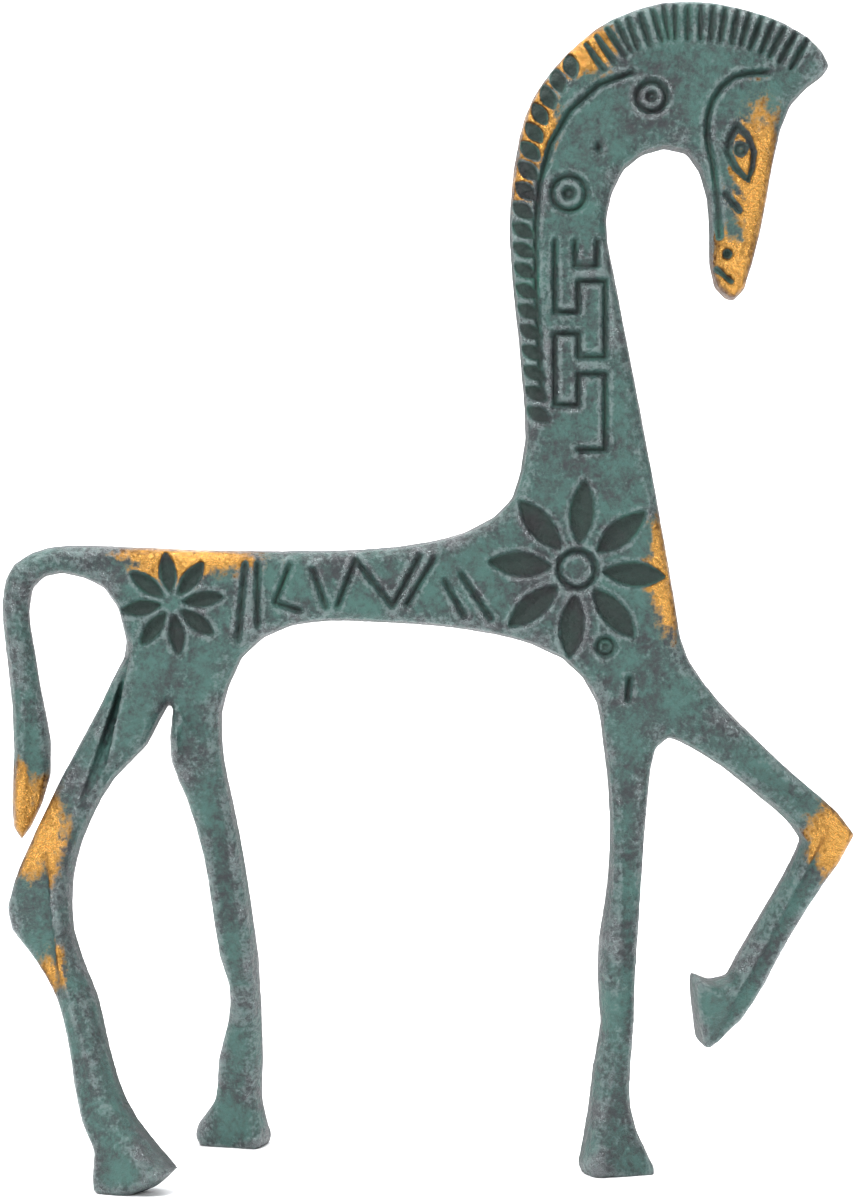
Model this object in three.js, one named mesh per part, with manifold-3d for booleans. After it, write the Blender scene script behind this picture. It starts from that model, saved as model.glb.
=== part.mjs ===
// Bronze horse statuette, cast in one piece from a flat plate whose legs lean apart.
// Millimetres, +Z up. The horse looks along +X and shows its front side along -Y.
// The outline is drawn as edges and leg ladders, rounded at its rim, leaned and turned
// leg by leg, then cut with the ornament and flattened under the hooves.

import * as THREE from 'three';
import { mergeVertices } from 'three/addons/utils/BufferGeometryUtils.js';
import Module from 'manifold-3d';

const wasm = await Module();
wasm.setup();

// Driving dimensions
const PLATE_HALF = 3.2;
const RIM_INSET = 1.4;
const LIMB_ROUNDNESS = 0.6;
const OUTLINE_STEP = 3.6;
const HIP_HEIGHT = 72;
const LEAN_POWER = 1.3;
const MARK_DEPTH = 0.55;
const MARK_WIDTH = 0.95;
const CUTTER_PROUD = 1;

// Rim section, from the outline at mid-thickness to the flat face: inset share, height share
const RIM_PROFILE = [
  [0, 0],
  [0.28, 0.7],
  [1, 1],
];

// Each limb: how far its end stands from the plate, how far its section is turned there,
// and its half thickness at the middle and at the end
const degrees = THREE.MathUtils.degToRad;
const LIMBS = {
  body: { spread: 0, turn: 0, middle: PLATE_HALF, end: PLATE_HALF },
  tail: { spread: 0, turn: degrees(14), middle: 2.6, end: 2.2 },
  nearHind: { spread: -17, turn: degrees(-24), middle: 2.9, end: 3.6 },
  farHind: { spread: 17, turn: degrees(-16), middle: 2.7, end: 3.6 },
  fore: { spread: -4, turn: degrees(20), middle: 2.7, end: 3.6 },
  raised: { spread: 1.5, turn: degrees(18), middle: 2.6, end: 2.9 },
};

// Edges of the body, each point [x, z]
const MANE = [
  [60.1, 164.8], [57, 169.3], [52.8, 171.7], [43, 174.4], [35, 174.5], [27.6, 172.1],
  [22.8, 168.8], [18.6, 164.5], [15.6, 160], [13.7, 154.6], [12.2, 142.8], [12.6, 133],
  [13.5, 124], [14.4, 113.5],
];
const BACK = [
  [14.5, 109], [12.6, 100.3], [9.9, 97.5], [5.5, 95.2], [-0.4, 93.7], [-8.7, 92.7],
  [-31.2, 92.5], [-50.7, 93.2],
];
const TAIL = [
  [-56.7, 93], [-59.7, 92], [-62.1, 90.4], [-63.4, 88], [-63.9, 84.7], [-63.4, 78.2],
  [-62.5, 70], [-62.1, 62.5], [-62.4, 55], [-62.2, 51.1], [-61, 49.1], [-59.5, 51],
  [-57.8, 54.5], [-56.5, 58.8], [-56.5, 64], [-57.8, 70.8], [-58.8, 76.8], [-59.7, 83.2],
  [-59.2, 86.7], [-57.4, 88.5], [-54.9, 89], [-51.6, 88.3], [-48.6, 86.8], [-46.5, 83.8],
  [-45.3, 79],
];
const BELLY = [
  [-30.8, 68.2], [-29.8, 72.1], [-27.8, 76.3], [-24.6, 79.3], [-20.7, 81], [-14.7, 81.8],
  [-5.7, 81.5], [1.8, 81], [9.3, 79.9], [15.3, 78.4], [20.1, 76.2], [23.2, 73.3],
  [25.2, 69.7],
];
const CHEST = [
  [37.9, 79.3], [37.2, 83.8], [36, 91], [34.4, 100], [31, 118], [28.1, 133], [27, 138.7],
];
const HEAD = [
  [26.8, 142.3], [27.6, 145.8], [29.4, 149.5], [32.1, 151.6], [35.5, 152.6], [38.7, 151.9],
  [40.6, 149.2], [41.7, 145.3], [42.1, 139.8], [42.1, 135.2], [42.9, 131.9], [44.5, 130.3],
  [45.8, 129.8], [47.4, 131.5], [48.6, 135.2], [49.8, 139.8], [51.9, 151], [52.9, 155.5],
  [54.4, 159.1], [56.7, 161.6], [59.1, 163.4],
];

// Ladders of the legs, each rung [rear x, rear z, front x, front z] from the hip down
const NEAR_HIND = [
  [-47.4, 73, -38.4, 70], [-52.1, 63.5, -41.9, 63.3], [-54.9, 58.1, -46.9, 58.1],
  [-58.8, 49.3, -51.3, 49.3], [-61, 43.5, -52.6, 43.8], [-61.9, 39.5, -52.7, 39.8],
  [-61, 36.3, -52.3, 36.3], [-57.7, 32.6, -51, 32.5], [-54.2, 27.1, -48.5, 26.7],
  [-52.4, 21.5, -47, 21.1], [-51.2, 15.2, -45.2, 15.2], [-49.8, 9.7, -42.4, 9.7],
  [-47.9, 5.9, -39.1, 6.1],
];
const NEAR_HOOF = [[-48, 1.9], [-47.7, 0], [-46, -0.9], [-42.4, -0.5], [-38.3, 1.2], [-36, 3.4]];
const FAR_HIND = [
  [-38.7, 60.9, -30.6, 60.9], [-36.4, 54.8, -29.4, 54.8], [-34.1, 46.3, -27.9, 46.3],
  [-32.8, 37.7, -26.8, 37.7], [-31.8, 30.6, -26, 30.6], [-30.4, 25.9, -25.8, 25.9],
  [-30.7, 20.3, -25.6, 20.3], [-32.4, 13.8, -25.5, 13.8], [-33, 7.2, -25.8, 7.2],
  [-35.7, 3.6, -25.1, 3.9], [-36.2, 1.4, -24.7, 1.3],
];
const FAR_HOOF = [[-35, -0.7], [-29.7, -1], [-25.3, -0.7]];
const FORE = [
  [26.2, 63.3, 34.2, 62.8], [27, 55.8, 33, 55.8], [27.1, 47.6, 32.3, 47.6],
  [26.6, 40.9, 31.7, 40.9], [25.5, 33.5, 31.1, 33.5], [25.4, 27.6, 30.7, 27.6],
  [25.8, 22.1, 30.6, 22.4], [24.7, 15.8, 30.1, 16.5], [24, 9.9, 29.9, 9.9],
  [23.3, 5.5, 30.9, 5.8],
];
const FORE_HOOF = [[22.4, 1.5], [23.2, -0.6], [25.8, -1], [29.7, -1], [33, -0.7], [33.1, 1.1]];
const FORK = [[36, 64.3]];
const RAISED = [
  [37.8, 63.7, 43.5, 70], [43.8, 60.1, 49.4, 64], [49.8, 55.3, 55.9, 58],
  [54.1, 51.6, 61.3, 53.2], [55.9, 48.9, 64, 49.6], [54.6, 46, 61.8, 46],
  [51.3, 40, 57.6, 40], [46.9, 32.5, 53.1, 32.5], [44.9, 28.6, 50.4, 27.4],
];
const RAISED_HOOF = [
  [42.6, 28], [40.9, 28.6], [39.8, 29.1], [39.3, 28.1], [39.6, 25.2], [40.2, 21.7],
  [40.8, 18.4], [41.7, 18], [43.5, 19.2], [46.8, 22],
];
const SHOULDER = [[39.1, 76]];

// Edge helpers: one side of a ladder, from the hip down or from the end up
const rearEdge = (ladder) => ladder.map(([x, z]) => [x, z]);
const frontEdge = (ladder) => ladder.map(([, , x, z]) => [x, z]).reverse();

// The walk around the horse, anticlockwise as seen from the front side
const WALK = [
  ['body', MANE],
  ['body', BACK],
  ['tail', TAIL],
  ['nearHind', [...rearEdge(NEAR_HIND), ...NEAR_HOOF, ...frontEdge(NEAR_HIND)]],
  ['farHind', [...rearEdge(FAR_HIND), ...FAR_HOOF, ...frontEdge(FAR_HIND)]],
  ['body', BELLY],
  ['fore', [...rearEdge(FORE), ...FORE_HOOF, ...frontEdge(FORE)]],
  ['body', FORK],
  ['raised', [...rearEdge(RAISED), ...RAISED_HOOF, ...frontEdge(RAISED)]],
  ['body', [...SHOULDER, ...CHEST, ...HEAD]],
];

// Middle lines of the limbs, from the root to the end, as points [x, z]
const rungMiddle = ([rearX, rearZ, frontX, frontZ]) => [(rearX + frontX) / 2, (rearZ + frontZ) / 2];
const MIDDLE_LINES = {
  tail: [[-50, 91], [-58.6, 90], [-61.5, 84.7], [-60.6, 73], [-59.4, 62], [-60.2, 52], [-61, 49]],
  nearHind: [...NEAR_HIND.map(rungMiddle), [-43, 0]],
  farHind: [...FAR_HIND.map(rungMiddle), [-30, 0]],
  fore: [...FORE.map(rungMiddle), [28, 0]],
  raised: [...RAISED.map(rungMiddle), [44, 24]],
};

// Nearest place on a middle line: its share of the way down, its foot point and its cross direction
function placeOnLine(line, x, z) {
  let best = { distance: Infinity };
  for (let i = 0; i + 1 < line.length; i += 1) {
    const [startX, startZ] = line[i];
    const runX = line[i + 1][0] - startX;
    const runZ = line[i + 1][1] - startZ;
    const length = Math.hypot(runX, runZ);
    const along = ((x - startX) * runX + (z - startZ) * runZ) / length ** 2;
    const share = THREE.MathUtils.clamp(along, 0, 1);
    const footX = startX + share * runX;
    const footZ = startZ + share * runZ;
    const distance = Math.hypot(x - footX, z - footZ);
    if (distance < best.distance) {
      const travel = (i + share) / (line.length - 1);
      best = { distance, travel, footX, footZ, crossX: -runZ / length, crossZ: runX / length };
    }
  }
  return best;
}

// Half thickness of a limb: the plate's at its root, then its middle and end values
function halfThickness(limb, travel) {
  const firstHalf = THREE.MathUtils.lerp(PLATE_HALF, limb.middle, Math.min(travel / 0.5, 1));
  return THREE.MathUtils.lerp(firstHalf, limb.end, THREE.MathUtils.smoothstep(travel, 0.7, 1));
}

// Puts a rim point of a limb in space: height is from -1, the front face, to 1, the back face
function placeInSpace(limbName, x, z, height, halfWidth) {
  const limb = LIMBS[limbName];
  if (limbName === 'body') {
    return [x, height * PLATE_HALF, z];
  }
  const place = placeOnLine(MIDDLE_LINES[limbName], x, z);
  const half = halfThickness(limb, place.travel);
  const turn = limb.turn * THREE.MathUtils.smoothstep(place.travel, 0.05, 0.45);
  const side = place.crossZ * (z - place.footZ) + place.crossX * (x - place.footX);
  // the section gets narrower as it turns, so that the outline seen from the front stays the same
  const reach = Math.max(halfWidth, half);
  const kept = Math.sqrt(reach ** 2 - (half * Math.sin(turn)) ** 2) / (reach * Math.cos(turn));
  const sideways = kept * side * Math.cos(turn) - height * half * Math.sin(turn) * Math.sign(place.crossX || 1);
  const drop = Math.max(0, HIP_HEIGHT - z) / HIP_HEIGHT;
  const lean = limb.spread * drop ** LEAN_POWER;
  const forward = kept * side * Math.sin(turn) * Math.sign(place.crossX || 1) + height * half * Math.cos(turn);
  return [
    x + place.crossX * (sideways - side),
    lean + forward,
    z + place.crossZ * (sideways - side),
  ];
}

// Closed smooth outline: samples with their limb, inward direction and room to the far side
function sampleOutline() {
  const controls = WALK.flatMap(([limb, points]) => points.map(([x, z]) => ({ limb, x, z })));
  const curve = new THREE.CatmullRomCurve3(
    controls.map(({ x, z }) => new THREE.Vector3(x, 0, z)),
    true,
    'centripetal',
  );
  const samples = [];
  controls.forEach((control, i) => {
    const next = controls[(i + 1) % controls.length];
    const steps = Math.max(1, Math.round(Math.hypot(next.x - control.x, next.z - control.z) / OUTLINE_STEP));
    for (let step = 0; step < steps; step += 1) {
      const point = curve.getPoint((i + step / steps) / controls.length);
      samples.push({ limb: control.limb, x: point.x, z: point.z });
    }
  });
  const count = samples.length;
  samples.forEach((sample, i) => {
    const before = samples[(i + count - 1) % count];
    const after = samples[(i + 1) % count];
    const length = Math.hypot(after.x - before.x, after.z - before.z);
    sample.inX = -(after.z - before.z) / length;
    sample.inZ = (after.x - before.x) / length;
  });
  for (const sample of samples) {
    sample.room = samples.reduce((room, other) => {
      const ahead = (other.x - sample.x) * sample.inX + (other.z - sample.z) * sample.inZ;
      const gap = (other.x - sample.x) ** 2 + (other.z - sample.z) ** 2;
      return ahead > 1e-6 ? Math.min(room, gap / (2 * ahead)) : room;
    }, Infinity);
  }
  samples.forEach((sample, i) => {
    const rooms = [samples[(i + count - 1) % count].room, sample.room, samples[(i + 1) % count].room];
    sample.inset = Math.min(RIM_INSET, LIMB_ROUNDNESS * Math.min(...rooms));
  });
  return samples;
}

// Turns merged, indexed geometry into a solid that can be joined and cut
function solidOf(geometry) {
  geometry.deleteAttribute('normal');
  geometry.deleteAttribute('uv');
  const merged = mergeVertices(geometry, 1e-5);
  return new wasm.Manifold(new wasm.Mesh({
    numProp: 3,
    vertProperties: new Float32Array(merged.attributes.position.array),
    triVerts: new Uint32Array(merged.index.array),
  }));
}

function geometryOf(points, triangles) {
  const geometry = new THREE.BufferGeometry();
  geometry.setAttribute('position', new THREE.Float32BufferAttribute(points.flat(), 3));
  geometry.setIndex(triangles.flat());
  return geometry;
}

// Closes a stack of equal rings with side walls, the first ring being the front one
function wallsBetween(ringCount, ringLength) {
  const triangles = [];
  for (let ring = 0; ring + 1 < ringCount; ring += 1) {
    for (let i = 0; i < ringLength; i += 1) {
      const next = (i + 1) % ringLength;
      const [front, frontNext] = [ring * ringLength + i, ring * ringLength + next];
      const [back, backNext] = [front + ringLength, frontNext + ringLength];
      triangles.push([front, back, frontNext], [frontNext, back, backNext]);
    }
  }
  return triangles;
}

// The horse before its ornament: rims from the front face over the outline to the back face
function castBody(samples) {
  const frontProfile = [...RIM_PROFILE].reverse().map(([inset, height]) => [inset, -height]);
  const profile = [...frontProfile, ...RIM_PROFILE.slice(1)];
  const count = samples.length;
  const rings = profile.map(([inset, height]) => samples.map((sample) => {
    const x = sample.x + sample.inX * sample.inset * inset;
    const z = sample.z + sample.inZ * sample.inset * inset;
    return placeInSpace(sample.limb, x, z, height, Math.min(sample.room, 2 * PLATE_HALF));
  }));
  const flat = samples.map((sample) => new THREE.Vector2(
    sample.x + sample.inX * sample.inset,
    sample.z + sample.inZ * sample.inset,
  ));
  const face = THREE.ShapeUtils.triangulateShape(flat, []);
  const lastRing = (profile.length - 1) * count;
  const backFace = face.map(([a, b, c]) => [a + lastRing, c + lastRing, b + lastRing]);
  return geometryOf(rings.flat(), [...face, ...wallsBetween(profile.length, count), ...backFace]);
}

// A V-shaped cutter along a path of points [x, z] on the front (-1) or back (1) face.
// swell gives the cutter's share of its width at each share of the path.
function groove(path, { side = -1, width = MARK_WIDTH, depth = MARK_DEPTH, closed = false, swell = () => 1 } = {}) {
  const count = path.length;
  const sections = path.map(([x, z], i) => {
    const before = closed ? path[(i + count - 1) % count] : path[Math.max(i - 1, 0)];
    const after = closed ? path[(i + 1) % count] : path[Math.min(i + 1, count - 1)];
    const into = new THREE.Vector2(x - before[0], z - before[1]).normalize();
    const out = new THREE.Vector2(after[0] - x, after[1] - z).normalize();
    const run = into.clone().add(out).normalize();
    const mitre = 1 / Math.max(0.5, into.length() && out.length() ? run.dot(out) : 1);
    const share = swell(i / (count - 1));
    const spread = (width / 2) * share * (1 + CUTTER_PROUD / depth) * mitre;
    const floor = PLATE_HALF - depth * share;
    const top = PLATE_HALF + CUTTER_PROUD * share;
    return [
      [x - run.y * spread, side * top, z + run.x * spread],
      [x, side * floor, z],
      [x + run.y * spread, side * top, z - run.x * spread],
    ];
  });
  const triangles = [];
  const last = closed ? count : count - 1;
  for (let i = 0; i < last; i += 1) {
    const here = 3 * i;
    const there = 3 * ((i + 1) % count);
    for (let edge = 0; edge < 3; edge += 1) {
      const next = (edge + 1) % 3;
      triangles.push([here + edge, there + edge, here + next]);
      triangles.push([here + next, there + edge, there + next]);
    }
  }
  if (!closed) {
    const end = 3 * (count - 1);
    triangles.push([0, 1, 2], [end, end + 2, end + 1]);
  }
  const outward = side < 0 ? triangles : triangles.map(([a, b, c]) => [a, c, b]);
  return solidOf(geometryOf(sections.flat(), outward));
}

// Motifs
const leafSwell = (share) => 0.12 + 0.88 * Math.sin(Math.PI * THREE.MathUtils.clamp(share, 0, 1));

function straight([startX, startZ], [endX, endZ], pieces) {
  return Array.from({ length: pieces + 1 }, (_, i) => {
    const share = i / pieces;
    return [startX + share * (endX - startX), startZ + share * (endZ - startZ)];
  });
}

function circle([x, z], radius, corners) {
  return Array.from({ length: corners }, (_, i) => {
    const angle = (2 * Math.PI * i) / corners;
    return [x + radius * Math.cos(angle), z + radius * Math.sin(angle)];
  });
}

// A leaf-shaped hollow from one point to another
function leaf(start, end, width, side, depth = MARK_DEPTH) {
  return groove(straight(start, end, 3), { side, width, depth, swell: leafSwell });
}

// Leaves all round a centre
function rosette([x, z], { petals, inner, outer, width, offset, side }) {
  return Array.from({ length: petals }, (_, i) => {
    const angle = offset + (2 * Math.PI * i) / petals;
    const [ux, uz] = [Math.cos(angle), Math.sin(angle)];
    return leaf([x + inner * ux, z + inner * uz], [x + outer * ux, z + outer * uz], width, side);
  });
}

// A ring with a dot in it
function ringAndDot([x, z], radius, side) {
  const dot = radius * 0.3;
  return [
    groove(circle([x, z], radius * 0.86, 14), { side, width: 0.8, depth: 0.5, closed: true }),
    groove([[x, z - dot], [x, z], [x, z + dot]], { side, width: 2 * dot, depth: 0.5 }),
  ];
}

// The key pattern on the neck, one unit below the other
const KEY = {
  start: [18.9, 138.5],
  reach: 7.5,
  hook: 3.5,
  drops: [10.6, 6, 17.3, 13.8],
  units: 2,
};

function keyPath() {
  const [x, z] = KEY.start;
  const [first, back, low, pitch] = KEY.drops;
  const path = [[x, z]];
  for (let unit = 0; unit < KEY.units; unit += 1) {
    const top = z - unit * pitch;
    const middle = x + KEY.hook;
    const far = x + KEY.reach;
    path.push([x, top - first], [middle, top - first], [middle, top - back], [far, top - back]);
    path.push([far, top - low], [middle, top - low]);
    if (unit + 1 < KEY.units) {
      path.push([middle, top - pitch], [x, top - pitch]);
    }
  }
  return path;
}

// Places along the mane's edge: position and inward direction at each pitch
function placesAlong(samples, [startX, startZ], [endX, endZ], pitch) {
  const nearest = (x, z) => samples.reduce((best, sample, i) => {
    const distance = Math.hypot(sample.x - x, sample.z - z);
    return distance < best.distance ? { distance, i } : best;
  }, { distance: Infinity }).i;
  const stretch = samples.slice(nearest(startX, startZ), nearest(endX, endZ) + 1);
  const places = [];
  let travelled = 0;
  stretch.forEach((sample, i) => {
    const next = stretch[i + 1];
    if (!next) {
      return;
    }
    const length = Math.hypot(next.x - sample.x, next.z - sample.z);
    while (places.length * pitch < travelled + length) {
      const share = (places.length * pitch - travelled) / length;
      places.push({
        x: THREE.MathUtils.lerp(sample.x, next.x, share),
        z: THREE.MathUtils.lerp(sample.z, next.z, share),
        inX: sample.inX,
        inZ: sample.inZ,
      });
    }
    travelled += length;
  });
  return places;
}

// The mane: upright strokes on the crest, slanted leaves down the nape, and its inner border
const CREST = { from: [57, 169.3], to: [22.8, 168.8], pitch: 2, inset: 0.9, length: 4.6, width: 1.1 };
const NAPE = { from: [20.5, 166.6], to: [14.4, 113.5], pitch: 3, inset: 0.7, length: 3.2, width: 1.9, slant: 1.6 };
const MANE_BORDER = [
  [30.5, 163.6], [25.5, 161.8], [21.2, 158], [18.3, 153], [16.6, 147], [16, 141], [16.1, 132],
  [16.6, 122], [17, 115.4],
];

function mane(samples, side) {
  const strokes = placesAlong(samples, CREST.from, CREST.to, CREST.pitch).map(({ x, z, inX, inZ }) => leaf(
    [x + inX * CREST.inset, z + inZ * CREST.inset],
    [x + inX * CREST.length, z + inZ * CREST.length],
    CREST.width,
    side,
  ));
  const leaves = placesAlong(samples, NAPE.from, NAPE.to, NAPE.pitch).map(({ x, z, inX, inZ }) => leaf(
    [x + inX * NAPE.inset, z + inZ * NAPE.inset],
    [x + inX * NAPE.length - inZ * NAPE.slant, z + inZ * NAPE.length + inX * NAPE.slant],
    NAPE.width,
    side,
  ));
  return [...strokes, ...leaves, groove(MANE_BORDER, { side })];
}

// The head: brow and cheek line, almond eye with its iris, nostril and mouth
const BROW = [
  [50.6, 163.6], [48, 163.5], [45.7, 163], [43.8, 161.5], [42.4, 159.4], [41.7, 157],
  [41.6, 154.3], [42, 151.8], [42.5, 149.5], [43.4, 139],
];
const EYE = { centre: [46.6, 152.1], iris: 0.75, almond: [[46, 155.6], [44.6, 151.8], [47.7, 147.5], [48.5, 151.8]] };
const NOSTRIL = { from: [44.1, 137.6], to: [45.2, 135.4], width: 1.8 };
const MOUTH = [[43, 134.3], [45.2, 132.4]];
const CHEEK = [[44.2, 145.5], [46.4, 143]];

function head(side) {
  return [
    groove(BROW, { side, width: 1.1 }),
    groove(EYE.almond, { side, width: 0.7, depth: 0.45, closed: true }),
    groove(circle(EYE.centre, EYE.iris, 8), { side, width: 0.5, depth: 0.4, closed: true }),
    leaf(NOSTRIL.from, NOSTRIL.to, NOSTRIL.width, side, 0.7),
    groove(straight(...MOUTH, 2), { side, width: 0.7 }),
    groove(straight(...CHEEK, 2), { side, width: 0.7 }),
  ];
}

// The rosettes on shoulder and rump and the marks between them
const SHOULDER_ROSETTE = { petals: 8, inner: 4.1, outer: 13, width: 3.1, offset: degrees(-5) };
const RUMP_ROSETTE = { petals: 8, inner: 1.8, outer: 7.4, width: 1.9, offset: degrees(8) };
const SHOULDER_CENTRE = [22.2, 89.6];
const RUMP_CENTRE = [-38.1, 84.5];
const BOSS_RADIUS = 2.7;
const ZIGZAGS = [
  [[-13.5, 84.1], [-10.8, 91], [-5.3, 84.1], [-1.2, 91.6]],
  [[-3.2, 84.4], [0.9, 91.2]],
  [[2.4, 87.9], [5.4, 82.6]],
  [[4.8, 89], [9.4, 82.2]],
  [[-17.2, 89.6], [-15.2, 84]],
  [[-20.6, 90.2], [-22.8, 84.6], [-19, 83.4]],
  [[-27.2, 90.4], [-28.3, 79.2]],
  [[-25.4, 90.4], [-25.4, 81.2]],
];
const NECK_RINGS = [[[21, 145.6], 3], [[33.3, 160], 2.6]];
const SMALL_RING = [[26.4, 78.1], 1.4];
const DIMPLE = [[25.4, 152.9], [25.4, 152]];
const STROKE = [[30, 73.4], [29.7, 70.2]];
const SIDE_HOOK = [[25.2, 138.5], [25.2, 134.8], [21.9, 134.8], [21.9, 138.5]];

function bodyMarks(side) {
  return [
    ...rosette(SHOULDER_CENTRE, { ...SHOULDER_ROSETTE, side }),
    groove(circle(SHOULDER_CENTRE, BOSS_RADIUS, 14), { side, width: 0.8, closed: true }),
    ...rosette(RUMP_CENTRE, { ...RUMP_ROSETTE, side }),
    ...ringAndDot(...NECK_RINGS[0], side),
  ];
}

function frontMarks(side) {
  return [
    ...ringAndDot(...NECK_RINGS[1], side),
    ...ringAndDot(...SMALL_RING, side),
    groove(keyPath(), { side }),
    groove(SIDE_HOOK, { side }),
    ...ZIGZAGS.map((path) => groove(path, { side, width: 0.8, depth: 0.45 })),
    groove(DIMPLE, { side, width: 1.3 }),
    groove(STROKE, { side }),
  ];
}

// Joins the cutters two by two, then takes them out of the cast body
function cut(body, cutters) {
  const joined = cutters.reduce((all, cutter) => all.add(cutter));
  return body.subtract(joined);
}

function groundCutter() {
  const block = new THREE.BoxGeometry(200, 100, 10);
  block.translate(0, 0, -5);
  return solidOf(block);
}

const samples = sampleOutline();
const FRONT = -1;
const REAR = 1;
const cutters = [
  ...mane(samples, FRONT),
  ...mane(samples, REAR),
  ...head(FRONT),
  ...head(REAR),
  ...bodyMarks(FRONT),
  ...bodyMarks(REAR),
  ...frontMarks(FRONT),
  groundCutter(),
];
const shape = cut(solidOf(castBody(samples)), cutters).getMesh();

const geometry = new THREE.BufferGeometry();
geometry.setAttribute('position', new THREE.Float32BufferAttribute(shape.vertProperties, 3));
geometry.setIndex(new THREE.Uint32BufferAttribute(shape.triVerts, 1));
geometry.computeBoundingBox();

// The origin is on the ground under the middle of the whole outline
const { min, max } = geometry.boundingBox;
geometry.translate(-(min.x + max.x) / 2, -(min.y + max.y) / 2, -min.z);

const bronze = new THREE.MeshStandardMaterial({ color: 0x45615c, roughness: 0.55, metalness: 0.8 });
const horse = new THREE.Mesh(geometry, bronze);
horse.name = 'horse';

const statuette = new THREE.Group();
statuette.add(horse);

export default statuette;
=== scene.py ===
"""A bronze horse statuette: its cast skin, its engraved ornament and its worn patina."""

import logging
import math
from dataclasses import dataclass, field
from enum import Enum
from typing import Any, Iterable, Mapping, Sequence

import bpy
import numpy as np
from mathutils import Matrix, Vector


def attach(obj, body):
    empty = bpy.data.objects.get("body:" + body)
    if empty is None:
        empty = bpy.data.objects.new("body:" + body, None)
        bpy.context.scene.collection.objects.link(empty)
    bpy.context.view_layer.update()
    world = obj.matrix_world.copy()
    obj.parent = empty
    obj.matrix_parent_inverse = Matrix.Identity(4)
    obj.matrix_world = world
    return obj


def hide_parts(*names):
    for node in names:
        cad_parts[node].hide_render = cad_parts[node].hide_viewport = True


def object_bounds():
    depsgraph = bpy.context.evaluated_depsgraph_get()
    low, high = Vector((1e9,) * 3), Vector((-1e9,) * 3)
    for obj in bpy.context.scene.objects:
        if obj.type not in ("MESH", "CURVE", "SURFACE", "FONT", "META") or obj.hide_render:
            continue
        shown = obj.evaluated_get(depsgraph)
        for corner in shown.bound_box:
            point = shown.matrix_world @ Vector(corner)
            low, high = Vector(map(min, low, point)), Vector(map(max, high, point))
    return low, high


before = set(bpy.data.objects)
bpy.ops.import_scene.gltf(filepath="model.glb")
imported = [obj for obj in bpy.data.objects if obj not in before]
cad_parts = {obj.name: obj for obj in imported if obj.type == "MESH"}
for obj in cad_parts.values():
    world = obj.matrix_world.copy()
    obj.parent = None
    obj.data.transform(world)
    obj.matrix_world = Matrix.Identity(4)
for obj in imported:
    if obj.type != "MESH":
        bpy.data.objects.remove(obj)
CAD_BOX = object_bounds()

LOG = logging.getLogger("horse")
MM = 0.001

# The drawing of the horse has its zero this far from the frame's, in millimetres
DRAWING_ZERO = Vector((-0.07, 0.23, 0.0))
PLATE_HALF = 3.2

Point = tuple[float, float]
Colour = tuple[float, float, float]
Place = tuple[float, float, float]


def srgb(red: int, green: int, blue: int) -> Colour:
    """Turns a colour as a screen shows it into the linear one that shaders take.

    Args:
        red: Red from 0 to 255.
        green: Green from 0 to 255.
        blue: Blue from 0 to 255.

    Returns:
        The linear colour.
    """
    def linear(value: int) -> float:
        """Gives one linear channel."""
        share = value / 255
        return share / 12.92 if share <= 0.04045 else ((share + 0.055) / 1.055) ** 2.4

    return linear(red), linear(green), linear(blue)


class Side(Enum):
    """The two faces of the plate, as the sign of their Y."""

    FRONT = -1
    BACK = 1


class Signal:
    """A node's output that builds Math nodes when it is used in an expression."""

    def __init__(self, graph: "Graph", socket: bpy.types.NodeSocket) -> None:
        """Keeps the socket and the graph that new nodes go into."""
        self.graph = graph
        self.socket = socket

    def _math(self, operation: str, *values: Any) -> "Signal":
        """Adds one Math node on the given values."""
        sockets = dict(enumerate(values))
        return self.graph.node("ShaderNodeMath", {"operation": operation}, sockets)[0]

    def __add__(self, other: Any) -> "Signal":
        """Adds."""
        return self._math("ADD", self, other)

    __radd__ = __add__

    def __mul__(self, other: Any) -> "Signal":
        """Multiplies."""
        return self._math("MULTIPLY", self, other)

    __rmul__ = __mul__

    def __sub__(self, other: Any) -> "Signal":
        """Subtracts."""
        return self._math("SUBTRACT", self, other)

    def __rsub__(self, other: Any) -> "Signal":
        """Subtracts from a number."""
        return self._math("SUBTRACT", other, self)

    def __truediv__(self, other: Any) -> "Signal":
        """Divides."""
        return self._math("DIVIDE", self, other)

    def __pow__(self, other: Any) -> "Signal":
        """Raises to a power."""
        return self._math("POWER", self, other)

    def __abs__(self) -> "Signal":
        """Drops the sign."""
        return self._math("ABSOLUTE", self)

    def sign(self) -> "Signal":
        """Gives -1, 0 or 1."""
        return self._math("SIGN", self)

    def larger(self, other: Any) -> "Signal":
        """Gives the larger of two values."""
        return self._math("MAXIMUM", self, other)

    def ramp(self, low: float, high: float, start: float = 0.0, end: float = 1.0) -> "Signal":
        """Eases from start to end as the value goes from low to high.

        Args:
            low: The value where the result is start.
            high: The value where the result is end.
            start: The result at low.
            end: The result at high.

        Returns:
            The eased value.
        """
        sockets = {"Value": self, "From Min": low, "From Max": high, "To Min": start, "To Max": end}
        return self.graph.node("ShaderNodeMapRange", {"interpolation_type": "SMOOTHSTEP"}, sockets)[0]


class Built:
    """A node that has been built, whose outputs are read by name or place."""

    def __init__(self, graph: "Graph", node: bpy.types.Node) -> None:
        """Keeps the node."""
        self.graph = graph
        self.raw = node

    def __getitem__(self, key: str | int) -> Signal:
        """Gives an output, counting only those in use."""
        outputs = [socket for socket in self.raw.outputs if socket.enabled]
        if isinstance(key, int):
            return Signal(self.graph, outputs[key])
        return Signal(self.graph, next(socket for socket in outputs if socket.name == key))


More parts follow.
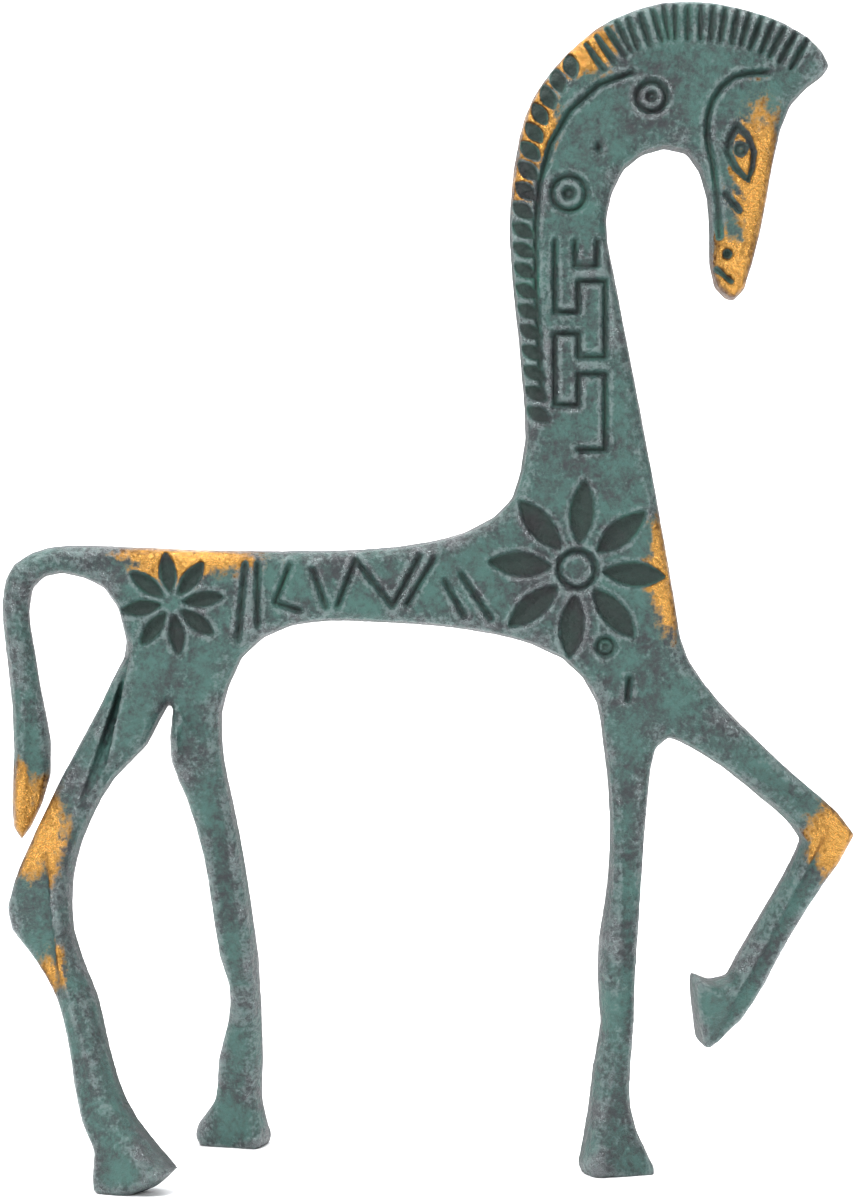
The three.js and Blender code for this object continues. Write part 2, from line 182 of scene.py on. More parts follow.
class Graph:
    """A node tree with one way to add nodes."""

    def __init__(self, tree: bpy.types.NodeTree) -> None:
        """Starts with an empty tree."""
        self.tree = tree
        tree.nodes.clear()

    def node(
        self,
        kind: str,
        settings: Mapping[str, Any] | None = None,
        sockets: Mapping[str | int, Any] | None = None,
    ) -> Built:
        """Adds a node, sets it up, then fills or links its inputs.

        Args:
            kind: The node's type.
            settings: The node's own properties.
            sockets: Values or signals for its inputs, by name or by place among those in use.

        Returns:
            The node.
        """
        node = self.tree.nodes.new(kind)
        for name, value in (settings or {}).items():
            setattr(node, name, value)
        inputs = [socket for socket in node.inputs if socket.enabled]
        for key, value in (sockets or {}).items():
            chosen = inputs[key] if isinstance(key, int) else next(s for s in inputs if s.name == key)
            if isinstance(value, Signal):
                self.tree.links.new(value.socket, chosen)
            else:
                chosen.default_value = value
        return Built(self, node)

    def mix(self, share: Any, first: Any, second: Any) -> Signal:
        """Mixes two colours.

        Args:
            share: How much of the second colour there is.
            first: A colour or a signal.
            second: A colour or a signal.

        Returns:
            The mixed colour.
        """
        def full(colour: Any) -> Any:
            """Adds alpha to a plain colour."""
            return colour if isinstance(colour, Signal) else (*colour, 1.0)

        sockets = {"Factor": share, "A": full(first), "B": full(second)}
        return self.node("ShaderNodeMix", {"data_type": "RGBA"}, sockets)["Result"]

    def noise(self, where: Signal, scale: float, detail: float = 4.0, roughness: float = 0.6) -> Signal:
        """Gives a cloudy noise between 0 and 1."""
        sockets = {"Vector": where, "Scale": scale, "Detail": detail, "Roughness": roughness}
        return self.node("ShaderNodeTexNoise", sockets=sockets)[0]


class GeometryGraph(Graph):
    """A geometry tree with named inputs."""

    def __init__(self, name: str) -> None:
        """Makes an empty tree that gives back geometry."""
        super().__init__(bpy.data.node_groups.new(name, "GeometryNodeTree"))
        self.tree.interface.new_socket("Geometry", in_out="OUTPUT", socket_type="NodeSocketGeometry")
        self.tree.interface.new_socket("Geometry", in_out="INPUT", socket_type="NodeSocketGeometry")
        self._entry: Built | None = None

    def inputs(self, **kinds: str) -> Built:
        """Args:
            kinds: Each input's name, with underscores for spaces, and its kind of socket.

        Returns:
            The node that gives their values.
        """
        for name, kind in kinds.items():
            label = name.replace("_", " ")
            self.tree.interface.new_socket(label, in_out="INPUT", socket_type=f"NodeSocket{kind}")
        self._entry = self.node("NodeGroupInput")
        return self._entry

    def finish(self, geometry: Signal, material: bpy.types.Material | None = None) -> None:
        """Ends the tree with real geometry and its material."""
        real = self.node("GeometryNodeRealizeInstances", sockets={0: geometry})[0]
        dressed = self.node("GeometryNodeSetMaterial", sockets={0: real, "Material": material})[0]
        self.node("NodeGroupOutput", sockets={0: dressed})

    def run(self, piece: bpy.types.Object, **values: Any) -> None:
        """Runs the tree on an object and keeps the result as its plain mesh.

        Args:
            piece: The object that the tree is run on.
            values: The inputs' values, by name with underscores for spaces.
        """
        modifier = piece.modifiers.new(self.tree.name, "NODES")
        modifier.node_group = self.tree
        names = {
            item.name: item.identifier
            for item in self.tree.interface.items_tree
            if item.in_out == "INPUT"
        }
        for name, value in values.items():
            modifier[names[name.replace("_", " ")]] = value
        Workshop.settle(piece)


class Workshop:
    """Plain steps on meshes that every piece uses."""

    @staticmethod
    def new_object(name: str, mesh: bpy.types.Mesh) -> bpy.types.Object:
        """Puts a mesh in the scene."""
        piece = bpy.data.objects.new(name, mesh)
        bpy.context.scene.collection.objects.link(piece)
        return piece

    @staticmethod
    def settle(piece: bpy.types.Object) -> None:
        """Turns an object with its modifiers into a plain mesh."""
        graph = bpy.context.evaluated_depsgraph_get()
        mesh = bpy.data.meshes.new_from_object(piece.evaluated_get(graph), depsgraph=graph)
        old = piece.data
        piece.modifiers.clear()
        piece.data = mesh
        bpy.data.meshes.remove(old)

    @classmethod
    def modify(cls, piece: bpy.types.Object, kind: str, **settings: Any) -> None:
        """Adds one modifier and settles it."""
        modifier = piece.modifiers.new(kind.lower(), kind)
        for name, value in settings.items():
            setattr(modifier, name, value)
        cls.settle(piece)

    @classmethod
    def edges(cls, name: str, paths: Iterable[Sequence[Point]], side: Side | None) -> bpy.types.Object:
        """Makes bare edges along paths.

        Args:
            name: The object's name.
            paths: Points in the drawing's millimetres.
            side: The face of the plate they lie on, or None for a flat drawing in X and Y.

        Returns:
            The object.
        """
        points: list[Vector] = []
        pairs: list[tuple[int, int]] = []
        for path in paths:
            start = len(points)
            for x, z in path:
                points.append(Vector((x, z, 0)) * MM if side is None else on_face(x, z, side))
            pairs += [(start + i, start + i + 1) for i in range(len(path) - 1)]
        mesh = bpy.data.meshes.new(name)
        mesh.from_pydata(points, pairs, [])
        return cls.new_object(name, mesh)

    @classmethod
    def join(cls, pieces: Sequence[bpy.types.Object], name: str) -> bpy.types.Object:
        """Joins meshes into one object."""
        with bpy.context.temp_override(
            active_object=pieces[0],
            object=pieces[0],
            selected_objects=list(pieces),
            selected_editable_objects=list(pieces),
        ):
            bpy.ops.object.join()
        pieces[0].name = name
        return pieces[0]


def on_face(x: float, z: float, side: Side) -> Vector:
    """Gives a point of the drawing on one face of the plate, in metres."""
    return (Vector((x, side.value * PLATE_HALF, z)) + DRAWING_ZERO) * MM


def circle(centre: Point, radius: float, corners: int = 24) -> list[Point]:
    """Gives the points of a closed circle."""
    angles = [2 * math.pi * i / corners for i in range(corners + 1)]
    return [(centre[0] + radius * math.cos(a), centre[1] + radius * math.sin(a)) for a in angles]


@dataclass(frozen=True)
class Rosette:
    """A ring of leaf-shaped hollows round a boss."""

    centre: Point
    inner: float
    outer: float
    width: float
    turn: float
    boss: float
    petals: int = 8


@dataclass(frozen=True)
class LeafRow:
    """Leaf-shaped hollows along an edge of the mane."""

    path: tuple[Point, ...]
    pitch: float
    inset: float
    length: float
    width: float
    slant: float


@dataclass
class Ornament:
    """The engraved ornament, in the drawing's millimetres."""

    shoulder: Rosette = Rosette((22.2, 89.6), 4.1, 13.0, 3.2, math.radians(-5), 2.8)
    rump: Rosette = Rosette((-38.1, 84.5), 1.9, 7.4, 1.9, math.radians(8), 1.3)
    crest: LeafRow = LeafRow(
        ((57.0, 169.3), (52.8, 171.7), (48.0, 173.5), (43.0, 174.4), (35.0, 174.5), (27.6, 172.1),
         (22.8, 168.8)),
        pitch=1.9, inset=1.2, length=4.8, width=0.3, slant=math.radians(90),
    )
    nape: LeafRow = LeafRow(
        ((20.5, 166.6), (18.6, 164.5), (15.6, 160.0), (13.7, 154.6), (12.2, 142.8), (12.6, 133.0),
         (13.5, 124.0), (14.4, 113.5)),
        pitch=3.0, inset=0.5, length=3.4, width=1.7, slant=math.radians(55),
    )
    mane_border: tuple[Point, ...] = (
        (30.5, 163.6), (25.5, 161.8), (21.2, 158.0), (18.3, 153.0), (16.6, 147.0), (16.0, 141.0),
        (16.1, 132.0), (16.6, 122.0), (17.0, 115.4),
    )
    brow: tuple[Point, ...] = (
        (50.6, 163.6), (48.0, 163.5), (45.7, 163.0), (43.8, 161.5), (42.4, 159.4), (41.7, 157.0),
        (41.6, 154.3), (42.0, 151.8), (42.5, 149.5), (43.2, 144.0), (43.4, 139.0),
    )
    eye_lid: tuple[Point, ...] = (
        (46.0, 155.6), (45.0, 153.9), (44.6, 151.8), (45.8, 149.3), (47.7, 147.5), (48.4, 149.6),
        (48.5, 151.8), (47.6, 154.1), (46.0, 155.6),
    )
    eye: Point = (46.6, 152.1)
    eye_radius: float = 0.7
    nostril_radius: float = 0.35
    ring_share: float = 0.85
    dot_share: float = 0.22
    small_corners: int = 8
    eye_corners: int = 12
    mouth: tuple[Point, ...] = ((43.0, 134.3), (45.2, 132.4))
    cheek: tuple[Point, ...] = ((44.2, 145.5), (46.4, 143.0))
    nostril: Point = (44.6, 136.5)
    key_start: Point = (18.9, 138.5)
    key_reach: float = 7.5
    key_hook: float = 3.5
    key_drops: tuple[float, float, float, float] = (10.6, 6.0, 17.3, 13.8)
    key_units: int = 2
    rings: tuple[tuple[Point, float], ...] = (
        ((21.0, 145.6), 3.0), ((33.3, 160.0), 2.6), ((26.4, 78.1), 1.4),
    )
    marks: tuple[tuple[Point, ...], ...] = (
        ((-13.5, 84.1), (-10.8, 91.0), (-5.3, 84.1), (-1.2, 91.6)),
        ((-3.2, 84.4), (0.9, 91.2)),
        ((2.4, 87.9), (5.4, 82.6)),
        ((4.8, 89.0), (9.4, 82.2)),
        ((-17.2, 89.6), (-15.2, 84.0)),
        ((-20.6, 90.2), (-22.8, 84.6), (-19.0, 83.4)),
        ((-27.2, 90.4), (-28.3, 79.2)),
        ((-25.4, 90.4), (-25.4, 81.2)),
        ((25.2, 138.5), (25.2, 134.8), (21.9, 134.8), (21.9, 138.5)),
        ((30.0, 73.4), (29.7, 70.2)),
        ((25.4, 152.9), (25.4, 152.0)),
    )

    def key(self) -> list[Point]:
        """Gives the key pattern's path down the neck."""
        x, z = self.key_start
        first, back, low, pitch = self.key_drops
        middle, far = x + self.key_hook, x + self.key_reach
        path = [(x, z)]
        for unit in range(self.key_units):
            top = z - unit * pitch
            path += [(x, top - first), (middle, top - first), (middle, top - back)]
            path += [(far, top - back), (far, top - low), (middle, top - low)]
            if unit + 1 < self.key_units:
                path += [(middle, top - pitch), (x, top - pitch)]
        return path

    def face_lines(self) -> list[Sequence[Point]]:
        """Gives the lines that both sides have: mane border, brow, eye, mouth and bosses."""
        return [
            self.mane_border,
            self.brow,
            self.eye_lid,
            circle(self.eye, self.eye_radius, self.eye_corners),
            self.mouth,
            self.cheek,
            circle(self.nostril, self.nostril_radius, self.small_corners),
            circle(self.shoulder.centre, self.shoulder.boss),
            *self.ringed(self.rings[:1]),
        ]

    def front_lines(self) -> list[Sequence[Point]]:
        """Gives the lines that only the front side has."""
        return [self.key(), *self.marks, *self.ringed(self.rings[1:])]

    def ringed(self, rings: Sequence[tuple[Point, float]]) -> list[Sequence[Point]]:
        """Gives a ring and the dot in it for each centre."""
        lines: list[Sequence[Point]] = []
        for centre, radius in rings:
            lines.append(circle(centre, radius * self.ring_share))
            lines.append(circle(centre, radius * self.dot_share, self.small_corners))
        return lines

    def lines(self) -> bpy.types.Object:
        """Makes all engraved lines of both sides as one object of edges."""
        pieces = [
            Workshop.edges("front_lines", [*self.face_lines(), *self.front_lines()], Side.FRONT),
            Workshop.edges("back_lines", self.face_lines(), Side.BACK),
        ]
        return Workshop.join(pieces, "engraved_lines")

    def hollows(self) -> bpy.types.Object:
        """Makes all leaf-shaped hollows of both sides as one object of flat leaves."""
        rosette_graph = self._rosette_graph()
        row_graph = self._row_graph()
        pieces = []
        for side in Side:
            for rosette in (self.shoulder, self.rump):
                piece = Workshop.edges("rosette", [], None)
                place = on_face(*rosette.centre, side)
                rosette_graph.run(
                    piece, Petals=rosette.petals, Inner=rosette.inner * MM, Outer=rosette.outer * MM,
                    Width=rosette.width * MM, Turn=rosette.turn, Place=place,
                )
                pieces.append(piece)
            for row in (self.crest, self.nape):
                piece = Workshop.edges("leaf_row", [row.path], None)
                place = on_face(0.0, 0.0, side)
                row_graph.run(
                    piece, Pitch=row.pitch * MM, Inset=row.inset * MM, Length=row.length * MM,
                    Width=row.width * MM, Slant=row.slant, Place=place,
                )
                pieces.append(piece)
        return Workshop.join(pieces, "engraved_hollows")

    @staticmethod
    def _leaf(graph: Graph, start: Any, length: Any, width: Any) -> Signal:
        """Builds one flat leaf along X, from start on, pointed at both ends."""
        disc = graph.node(
            "GeometryNodeMeshCircle", {"fill_type": "NGON"}, {"Vertices": 16, "Radius": 1.0}
        )[0]
        place = graph.node("ShaderNodeSeparateXYZ", sockets={0: graph.node("GeometryNodeInputPosition")[0]})
        along = (place["X"] + 1.0) * length * 0.5 + start
        across = place["Y"] * abs(place["Y"]) * width * 0.5
        shaped = graph.node("ShaderNodeCombineXYZ", sockets={"X": along, "Y": across})[0]
        return graph.node("GeometryNodeSetPosition", sockets={0: disc, "Position": shaped})[0]

    @staticmethod
    def _stand(graph: Graph, flat: Signal, place: Signal) -> Signal:
        """Turns flat geometry upright, into the plate's face."""
        quarter = (math.pi / 2, 0.0, 0.0)
        sockets = {0: flat, "Translation": place, "Rotation": quarter}
        return graph.node("GeometryNodeTransform", sockets=sockets)[0]

    def _rosette_graph(self) -> GeometryGraph:
        """Builds the tree that sets petals round a centre."""
        graph = GeometryGraph("rosette")
        entry = graph.inputs(
            Petals="Int", Inner="Float", Outer="Float", Width="Float", Turn="Float", Place="Vector"
        )
        leaf = self._leaf(graph, entry["Inner"], entry["Outer"] - entry["Inner"], entry["Width"])
        points = graph.node("GeometryNodePoints", sockets={"Count": entry["Petals"]})[0]
        angle = graph.node("GeometryNodeInputIndex")[0] * (2 * math.pi) / entry["Petals"] + entry["Turn"]
        turned = graph.node("ShaderNodeCombineXYZ", sockets={"Z": angle})[0]
        petals = graph.node(
            "GeometryNodeInstanceOnPoints", sockets={"Points": points, "Instance": leaf, "Rotation": turned}
        )[0]
        graph.finish(self._stand(graph, petals, entry["Place"]))
        return graph

    def _row_graph(self) -> GeometryGraph:
        """Builds the tree that sets leaves along the mane's edge."""
        graph = GeometryGraph("leaf_row")
        entry = graph.inputs(
            Pitch="Float", Inset="Float", Length="Float", Width="Float", Slant="Float", Place="Vector"
        )
        curve = graph.node("GeometryNodeMeshToCurve", sockets={0: entry["Geometry"]})[0]
        spaced = graph.node(
            "GeometryNodeResampleCurve", {"mode": "LENGTH"}, {"Curve": curve, "Length": entry["Pitch"]}
        )[0]
        leaf = self._leaf(graph, 0.0, entry["Length"], entry["Width"])
        slanted = graph.node(
            "GeometryNodeTransform",
            sockets={
                0: leaf,
                "Translation": graph.node("ShaderNodeCombineXYZ", sockets={"Y": entry["Inset"]})[0],
                "Rotation": graph.node("ShaderNodeCombineXYZ", sockets={"Z": entry["Slant"]})[0],
            },
        )[0]
        along = graph.node("GeometryNodeInputTangent")[0]
        tangent = graph.node("ShaderNodeSeparateXYZ", sockets={0: along})
        heading = graph.node(
            "ShaderNodeMath", {"operation": "ARCTAN2"}, {0: tangent["Y"], 1: tangent["X"]}
        )[0]
        turned = graph.node("ShaderNodeCombineXYZ", sockets={"Z": heading})[0]
        leaves = graph.node(
            "GeometryNodeInstanceOnPoints",
            sockets={"Points": spaced, "Instance": slanted, "Rotation": turned},
        )[0]
        graph.finish(self._stand(graph, leaves, entry["Place"]))
        return graph


@dataclass(frozen=True)
class WornSpot:
    """A place rubbed down to bare metal: its centre and reach in millimetres, and how bare it is."""

    centre: Point
    reach: Point
    bare: float = 1.0


@dataclass(frozen=True)
class PatinatedBronze:
    """Dark blue-green patina over cast bronze, rubbed to gold in places, with painted glints and painted
    shade on the side faces.
    """

    dark: Colour = srgb(30, 35, 38)
    teal: Colour = srgb(50, 84, 78)
    green: Colour = srgb(44, 104, 86)
    # A grey painted in as glints on the patina
    glint_grey: Colour = srgb(150, 154, 156)
    # A near-black for the dark crust in the engraved hollows and for painted shade on the plate's side
    # faces
    crust_and_shade_dark: Colour = srgb(12, 15, 16)
    gold: Colour = srgb(176, 130, 66)
    # Brown for tarnish on the bare metal, and for painted shade where it faces sideways
    brown: Colour = srgb(70, 46, 26)
    patina_metal: float = 0.2
    cloud_scale: float = 0.14
    mottle_scale: float = 0.8
    grain_scale: float = 1.9
    relief: float = 0.7 * MM
    spots: tuple[WornSpot, ...] = (
        WornSpot((-36.0, 92.0), (13.0, 4.6)),
        WornSpot((35.6, 89.0), (3.6, 12.0)),
        WornSpot((22.0, 167.0), (7.0, 5.0)),
        WornSpot((15.4, 157.0), (4.4, 8.0)),
        WornSpot((12.8, 147.5), (3.0, 5.0), 0.8),
        WornSpot((49.0, 147.0), (4.6, 15.0)),
        WornSpot((45.6, 134.5), (4.4, 6.5)),
        WornSpot((-60.8, 55.0), (3.4, 7.0)),
        WornSpot((-57.4, 50.5), (5.6, 9.5), 0.95),
        WornSpot((-54.6, 31.0), (2.6, 5.0), 0.6),
        WornSpot((60.6, 49.0), (5.4, 7.0)),
    )

    def build(self) -> bpy.types.Material:
        """Builds the material.

        Returns:
            The material.
        """
        material = bpy.data.materials.new("patinated_bronze")
        material.use_nodes = True
        graph = Graph(material.node_tree)
        where = graph.node("ShaderNodeTexCoord")["Object"]
        place = graph.node("ShaderNodeVectorMath", {"operation": "SCALE"}, {0: where, "Scale": 1 / MM})[0]
        axes = graph.node("ShaderNodeSeparateXYZ", sockets={0: place})
        x, z = axes["X"] - DRAWING_ZERO.x, axes["Z"]
        groove = graph.node("ShaderNodeAttribute", {"attribute_name": "groove"})["Fac"]
        edge = graph.node("ShaderNodeAttribute", {"attribute_name": "edge"})["Fac"]
        side = graph.node("ShaderNodeAttribute", {"attribute_name": "side"})["Fac"]
        clouds = graph.noise(place, self.cloud_scale, 5.0)
        mottle = graph.noise(place, self.mottle_scale, 6.0, 0.7)
        grain = graph.noise(place, self.grain_scale, 4.0, 0.65)

        worn = self._worn(x, z)
        broken = (mottle - 0.5) * 1.4 + (clouds - 0.5) * 0.6
        rubbed = (worn + broken + edge * 0.3 - groove * 0.8).ramp(0.16, 0.5)
        crust = (clouds * 0.6 + mottle * 0.55 + grain * 0.25 - 0.2).ramp(0.36, 0.64)
        patina = graph.mix(crust, self.dark, self.teal)
        # Glossier, more metallic patina in rubbed flecks, with grey mixed into its colour as painted glints
        scour_and_glint = (mottle * 0.6 + grain * 0.6 + edge * 0.3 - clouds * 0.4).ramp(0.46, 0.66)
        patina = graph.mix(scour_and_glint * 0.3, patina, self.glint_grey)
        pocket = (groove * 0.4 + clouds * 1.1 + mottle * 0.3).ramp(0.92, 1.16)
        patina = graph.mix(pocket * 0.6, patina, self.green)
        # Darker where the patina crust fills the hollows, and on the side faces as painted shade
        crust_and_side_shade = (groove * 0.8 + side.ramp(0.35, 0.95) * 0.75 + (mottle - 0.5) * 0.5).ramp(0.1, 0.9)
        patina = graph.mix(crust_and_side_shade * 0.9, patina, self.crust_and_shade_dark)
        # Bare metal browns by tarnish in mottles and hollows, and on the side faces as painted shade
        tarnish_and_side_shade = (mottle * 0.7 + grain * 0.5 + groove * 0.6 + side * 0.3 - worn * 0.2).ramp(0.44, 0.82)
        metal = graph.mix(tarnish_and_side_shade, self.gold, self.brown)
        colour = graph.mix(rubbed, patina, metal)

        rough = 0.3 + crust * 0.12 - scour_and_glint * 0.08 + crust_and_side_shade * 0.2
        bare_rough = 0.24 + tarnish_and_side_shade * 0.2
        roughness = rough * (1.0 - rubbed) + bare_rough * rubbed
        shine = scour_and_glint * 0.6 + self.patina_metal
        metallic = rubbed * (1.0 - shine) + shine
        height = grain * 0.55 + mottle * 0.45
        bump = graph.node(
            "ShaderNodeBump", sockets={"Strength": 1.0, "Distance": self.relief, "Height": height}
        )["Normal"]
        shader = graph.node(
            "ShaderNodeBsdfPrincipled",
            sockets={"Base Color": colour, "Metallic": metallic, "Roughness": roughness, "Normal": bump},
        )[0]
        graph.node("ShaderNodeOutputMaterial", sockets={"Surface": shader})
        return material

    def _worn(self, x: Signal, z: Signal) -> Signal:
        """Gives how deep inside a worn spot each place lies, from 1 in its middle to 0 or less outside."""
        worn: Signal | None = None
        for spot in self.spots:
            across = (x - spot.centre[0]) / spot.reach[0]
            upward = (z - spot.centre[1]) / spot.reach[1]
            inside = (1.0 - (across * across + upward * upward) ** 0.5) * spot.bare
            worn = inside if worn is None else worn.larger(inside)
        return worn


@dataclass
class Casting:
    """The horse, one casting: its smooth body, engraved ornament and cast skin.

    The swells and the grain of the skin are noise, whose scales count per metre.
    """

    voxel: float = 0.34 * MM
    draft_voxel: float = 0.6 * MM
    smoothing: int = 6
    line_width: float = 0.62 * MM
    line_depth: float = 0.5 * MM
    hollow_wall: float = 0.5 * MM
    hollow_depth: float = 0.6 * MM
    lip_height: float = 0.16 * MM
    swell_depth: float = 0.2 * MM
    swell_scale: float = 240.0
    grain_depth: float = 0.16 * MM
    grain_scale: float = 1500.0
    edge_passes: int = 6
    edge_percentile: float = 97
    most_triangles: int = 190_000
    ornament: Ornament = field(default_factory=Ornament)
    finish: PatinatedBronze = field(default_factory=PatinatedBronze)

    def build(self) -> bpy.types.Object:
        """Makes the dressed casting that stands for the solid one.

        Returns:
            The finished object.
        """
        horse = self._body()
        material = self.finish.build()
        lines, hollows = self.ornament.lines(), self.ornament.hollows()
        self._engrave(material).run(
            horse, Lines=lines, Hollows=hollows, Line_width=self.line_width, Line_depth=self.line_depth,
            Hollow_wall=self.hollow_wall, Hollow_depth=self.hollow_depth, Lip_height=self.lip_height,
            Swell_depth=self.swell_depth, Grain_depth=self.grain_depth,
        )
        for marks in (lines, hollows):
            bpy.data.objects.remove(marks)
        self._thin(horse)
        self._mark_edges(horse)
        self._level(horse)
        horse.data.polygons.foreach_set("use_smooth", [True] * len(horse.data.polygons))
        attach(horse, "root")
        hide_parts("horse")
        return horse

    def _body(self) -> bpy.types.Object:
        """Copies the solid, gives it an even skin and rounds its facets."""
        horse = Workshop.new_object("bronze_casting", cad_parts["horse"].data.copy())
        horse.data.materials.clear()
        Workshop.modify(horse, "WELD", merge_threshold=0.001 * MM)
        size = self.voxel
        Workshop.modify(horse, "REMESH", mode="VOXEL", voxel_size=size)
        Workshop.modify(horse, "SMOOTH", factor=0.5, iterations=self.smoothing)
        return horse

    def _engrave(self, material: bpy.types.Material) -> GeometryGraph:
        """Builds the tree that sinks the ornament and roughens the cast skin."""
        graph = GeometryGraph("engraving")
        entry = graph.inputs(
            Lines="Object", Hollows="Object", Line_width="Float", Line_depth="Float",
            Hollow_wall="Float", Hollow_depth="Float", Lip_height="Float", Swell_depth="Float",
            Grain_depth="Float",
        )
        where = graph.node("GeometryNodeInputPosition")[0]
        facing = graph.node("GeometryNodeInputNormal")[0]
        normal_y = graph.node("ShaderNodeSeparateXYZ", sockets={0: facing})["Y"]
        axes = graph.node("ShaderNodeSeparateXYZ", sockets={0: where})
        middle_y = DRAWING_ZERO.y * MM
        face_y = (axes["Y"] - middle_y).sign() * (PLATE_HALF * MM) + middle_y
        on_plate = graph.node(
            "ShaderNodeCombineXYZ", sockets={"X": axes["X"], "Y": face_y, "Z": axes["Z"]}
        )[0]

        def marks(target: Signal, element: str, width: Signal) -> tuple[Signal, Signal]:
            """Gives the sunk part of the marks, easing to 0 at their width, and the lip round it."""
            shape = graph.node("GeometryNodeObjectInfo", sockets={"Object": target})["Geometry"]
            distance = graph.node(
                "GeometryNodeProximity",
                {"target_element": element},
                {0: shape, "Sample Position": on_plate},
            )["Distance"]
            reach = distance / width
            return (1.0 - reach).ramp(0.0, 1.0), (1.0 - abs(reach - 1.5)).ramp(0.0, 1.0)

        line, line_lip = marks(entry["Lines"], "EDGES", entry["Line width"])
        hollow, hollow_lip = marks(entry["Hollows"], "FACES", entry["Hollow wall"])
        faces_out = abs(normal_y).ramp(0.15, 0.7)
        sunk = (line * entry["Line depth"]).larger(hollow * entry["Hollow depth"])
        raised = line_lip.larger(hollow_lip) * entry["Lip height"] * (1.0 - line.larger(hollow))
        inward = normal_y.sign() * (raised - sunk) * faces_out
        swell = (graph.noise(where, self.swell_scale, 2.0) - 0.5) * entry["Swell depth"]
        grain = (graph.noise(where, self.grain_scale, 3.0) - 0.5) * entry["Grain depth"]
        skin = graph.node(
            "ShaderNodeVectorMath", {"operation": "SCALE"}, {0: facing, "Scale": swell + grain}
        )[0]
        sink = graph.node("ShaderNodeCombineXYZ", sockets={"Y": inward})[0]
        offset = graph.node("ShaderNodeVectorMath", {"operation": "ADD"}, {0: skin, 1: sink})[0]
        moved = graph.node("GeometryNodeSetPosition", sockets={0: entry["Geometry"], "Offset": offset})[0]
        marked = graph.node(
            "GeometryNodeStoreNamedAttribute",
            {"data_type": "FLOAT", "domain": "POINT"},
            {0: moved, "Name": "groove", "Value": line.larger(hollow) * faces_out},
        )[0]
        # side: how far the skin faces sideways, which the material darkens as painted shade
        sided = graph.node(
            "GeometryNodeStoreNamedAttribute",
            {"data_type": "FLOAT", "domain": "POINT"},
            {0: marked, "Name": "side", "Value": 1.0 - abs(normal_y)},
        )[0]
        graph.finish(sided, material)
        return graph

    def _thin(self, horse: bpy.types.Object) -> None:
        """Brings the mesh under its limit of triangles."""
        horse.data.calc_loop_triangles()
        count = len(horse.data.loop_triangles)
        if count > self.most_triangles:
            Workshop.modify(horse, "DECIMATE", ratio=self.most_triangles / count)

    def _mark_edges(self, horse: bpy.types.Object) -> None:
        """Stores how much each point stands out from its neighbours, as the attribute edge."""
        mesh = horse.data
        count = len(mesh.vertices)
        places = np.empty(count * 3)
        mesh.vertices.foreach_get("co", places)
        places = places.reshape(-1, 3)
        normals = np.empty(count * 3)
        mesh.vertices.foreach_get("normal", normals)
        normals = normals.reshape(-1, 3)
        pairs = np.empty(len(mesh.edges) * 2, dtype=np.int64)
        mesh.edges.foreach_get("vertices", pairs)
        first, second = pairs.reshape(-1, 2).T
        links = np.bincount(first, minlength=count) + np.bincount(second, minlength=count)
        links = np.maximum(links, 1)

        def spread(values: np.ndarray) -> np.ndarray:
            """Averages values over each point's neighbours."""
            total = np.bincount(first, values[second], count) + np.bincount(second, values[first], count)
            return total / links

        around = np.stack([spread(places[:, axis]) for axis in range(3)], axis=1)
        bulge = np.einsum("ij,ij->i", places - around, normals)
        for _ in range(self.edge_passes):
            bulge = 0.5 * bulge + 0.5 * spread(bulge)
        reach = np.percentile(np.abs(bulge), self.edge_percentile)
        attribute = mesh.attributes.new("edge", "FLOAT", "POINT")
        attribute.data.foreach_set("value", np.clip(bulge / reach, -1, 1).astype(np.float32))

    @staticmethod
    def _level(horse: bpy.types.Object) -> None:
        """Keeps the rough skin inside the solid's box, so that the soles stay flat on the ground."""
        mesh = horse.data
        places = np.empty(len(mesh.vertices) * 3)
        mesh.vertices.foreach_get("co", places)
        low, high = (np.array(corner, dtype=float) for corner in CAD_BOX)
        mesh.vertices.foreach_set("co", np.clip(places.reshape(-1, 3), low, high).ravel())
        mesh.update()


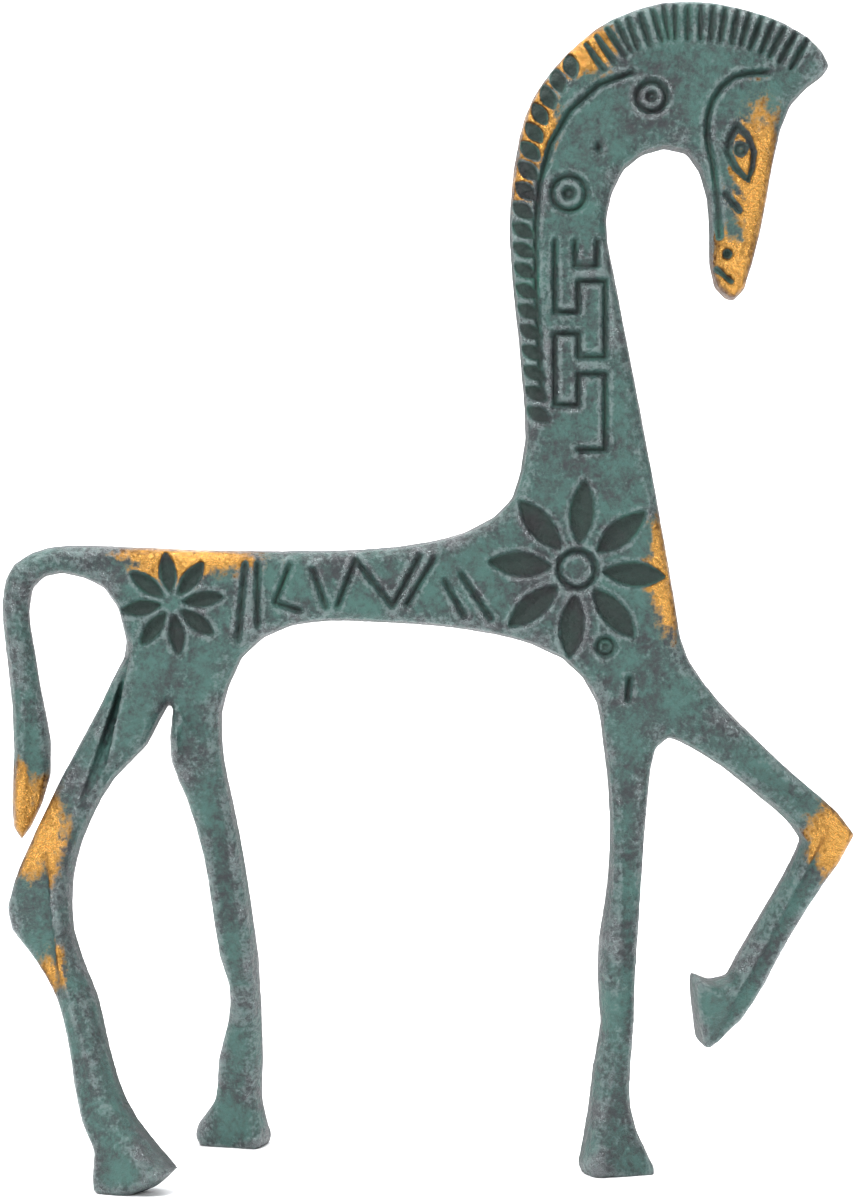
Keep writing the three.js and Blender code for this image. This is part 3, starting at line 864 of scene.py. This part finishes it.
@dataclass
class Studio:
    """A pale sweep of floor and backdrop, soft lights and the camera."""

    eye_height: float = 85 * MM
    distance: float = 400 * MM
    frame_height: float = 180 * MM
    sensor: float = 36.0
    floor_half: float = 2.2
    sweep_start: float = 0.7
    sweep_radius: float = 0.8
    pale: Colour = (0.92, 0.93, 0.94)
    ambient: float = 0.2
    middle_height: float = 85 * MM

    def build(self) -> None:
        """Sets up the whole studio."""
        self._floor()
        self._lights()
        self._camera()
        bpy.context.scene.view_settings.view_transform = "Standard"

    def _floor(self) -> None:
        """Makes the floor, which sweeps up into the backdrop."""
        steps = 16
        arc = [math.pi / 2 * i / steps for i in range(steps + 1)]
        radius = self.sweep_radius
        profile = [(-self.floor_half, 0.0)]
        profile += [(self.sweep_start + radius * math.sin(a), radius * (1 - math.cos(a))) for a in arc]
        profile.append((self.sweep_start + radius, self.floor_half))
        points = [(side * self.floor_half, y, z) for y, z in profile for side in (-1, 1)]
        faces = [(2 * i, 2 * i + 1, 2 * i + 3, 2 * i + 2) for i in range(len(profile) - 1)]
        mesh = bpy.data.meshes.new("floor")
        mesh.from_pydata(points, [], faces)
        mesh.polygons.foreach_set("use_smooth", [True] * len(mesh.polygons))
        floor = Workshop.new_object("floor", mesh)
        paint = bpy.data.materials.new("pale_floor")
        paint.use_nodes = True
        shader = paint.node_tree.nodes["Principled BSDF"]
        shader.inputs["Base Color"].default_value = (*self.pale, 1.0)
        shader.inputs["Roughness"].default_value = 0.8
        mesh.materials.append(paint)

    def _lights(self) -> None:
        """Adds the soft lights and the pale surroundings."""
        middle = (0.0, 0.0, self.middle_height)
        self._softbox("key", (-0.35, -0.45, 0.75), middle, 0.16, 9.0)
        self._softbox("fill", (0.8, -0.6, 0.3), middle, 0.4, 1.6)
        self._softbox("front_light", (-0.1, -1.0, 0.45), middle, 0.25, 4.5)
        self._softbox("backdrop_light", (0.0, 0.4, 1.3), (0.0, 1.5, 0.3), 1.4, 60.0)
        world = bpy.data.worlds.new("surroundings")
        world.use_nodes = True
        world.node_tree.nodes["Background"].inputs["Color"].default_value = (*self.pale, 1.0)
        world.node_tree.nodes["Background"].inputs["Strength"].default_value = self.ambient
        bpy.context.scene.world = world

    @staticmethod
    def _softbox(name: str, place: Place, target: Place, size: float, power: float) -> None:
        """Adds one square area light that looks at its target."""
        lamp = bpy.data.lights.new(name, "AREA")
        lamp.size = size
        lamp.energy = power
        light = bpy.data.objects.new(name, lamp)
        towards = Vector(target) - Vector(place)
        turn = towards.to_track_quat("-Z", "Y").to_matrix().to_4x4()
        light.matrix_world = Matrix.Translation(place) @ turn
        bpy.context.scene.collection.objects.link(light)

    def _camera(self) -> None:
        """Adds the camera, level, in front of the horse's middle plane."""
        lens = bpy.data.cameras.new("camera")
        lens.sensor_width = self.sensor
        lens.lens = self.sensor * self.distance / self.frame_height
        lens.clip_start = 0.01
        camera = bpy.data.objects.new("camera", lens)
        middle = DRAWING_ZERO * MM
        place = Vector((middle.x, middle.y - self.distance, self.eye_height))
        camera.matrix_world = Matrix.Translation(place) @ Matrix.Rotation(math.pi / 2, 4, "X")
        bpy.context.scene.collection.objects.link(camera)
        bpy.context.scene.camera = camera


def main() -> None:
    """Builds the horse and its studio."""
    logging.basicConfig(level=logging.INFO)
    horse = Casting().build()
    horse.data.calc_loop_triangles()
    LOG.info("%s: %d triangles", horse.name, len(horse.data.loop_triangles))
    Studio().build()


if __name__ == "__main__":
    main()
